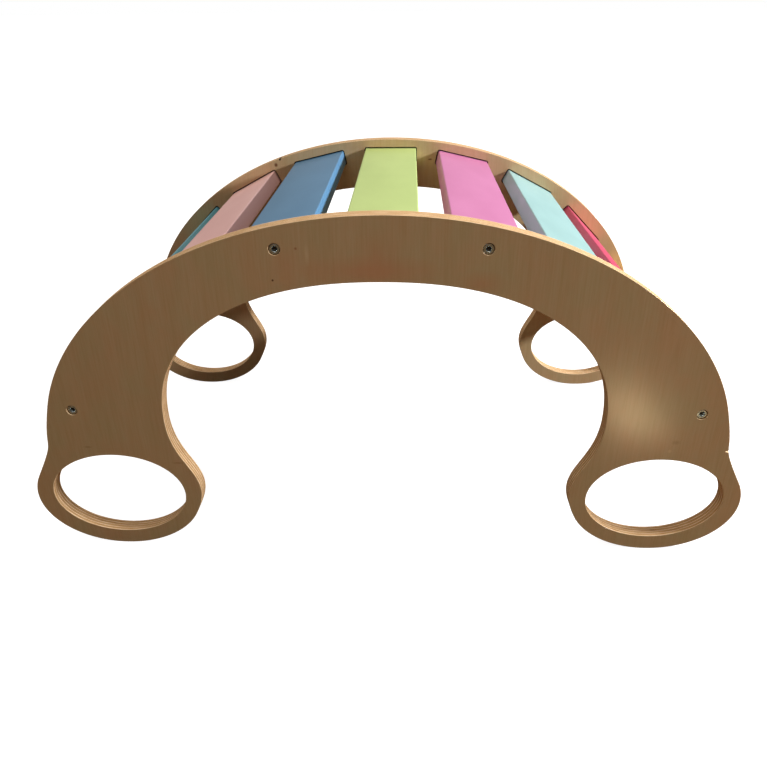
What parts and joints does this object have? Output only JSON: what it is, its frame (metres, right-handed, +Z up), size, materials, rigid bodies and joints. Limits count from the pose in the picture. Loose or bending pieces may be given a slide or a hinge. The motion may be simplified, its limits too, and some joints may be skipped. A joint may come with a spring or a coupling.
{
  "type": "rocker arch",
  "caption": "Wooden rocker arch for children: two arched plywood side panels with oval hand rings, joined by painted slats; it rocks when turned over.",
  "frame": {"origin": "on the floor under the middle of the arch, between the two side panels", "axes": "+X along the arch from one pair of hand rings to the other, +Y from the front panel to the rear panel across the slats, +Z up"},
  "size_m": [0.7988, 0.438, 0.3895],
  "materials": {
    "plywood": "clear satin varnish on birch plywood, plies showing on the edges",
    "paint_slat_1": "satin lilac paint on planed wood",
    "paint_slat_2": "satin teal paint on planed wood",
    "paint_slat_3": "satin dusty pink paint on planed wood",
    "paint_slat_4": "satin slate blue paint on planed wood",
    "paint_slat_5": "satin lime green paint on planed wood",
    "paint_slat_6": "satin hot pink paint on planed wood",
    "paint_slat_7": "satin mint paint on planed wood",
    "paint_slat_8": "satin coral red paint on planed wood",
    "paint_slat_9": "satin yellow paint on planed wood",
    "bolt_steel": "zinc plated, satin",
    "insert_brass": "bright, as turned"
  },
  "bodies": {
    "root": {"front_panel": "plywood", "rear_panel": "plywood", "slat_1": "paint_slat_1", "slat_2": "paint_slat_2", "slat_3": "paint_slat_3", "slat_4": "paint_slat_4", "slat_5": "paint_slat_5", "slat_6": "paint_slat_6", "slat_7": "paint_slat_7", "slat_8": "paint_slat_8", "slat_9": "paint_slat_9", "front_bolts": "bolt_steel", "rear_bolts": "bolt_steel", "front_inserts": "insert_brass", "rear_inserts": "insert_brass"}
  },
  "joints": []
}
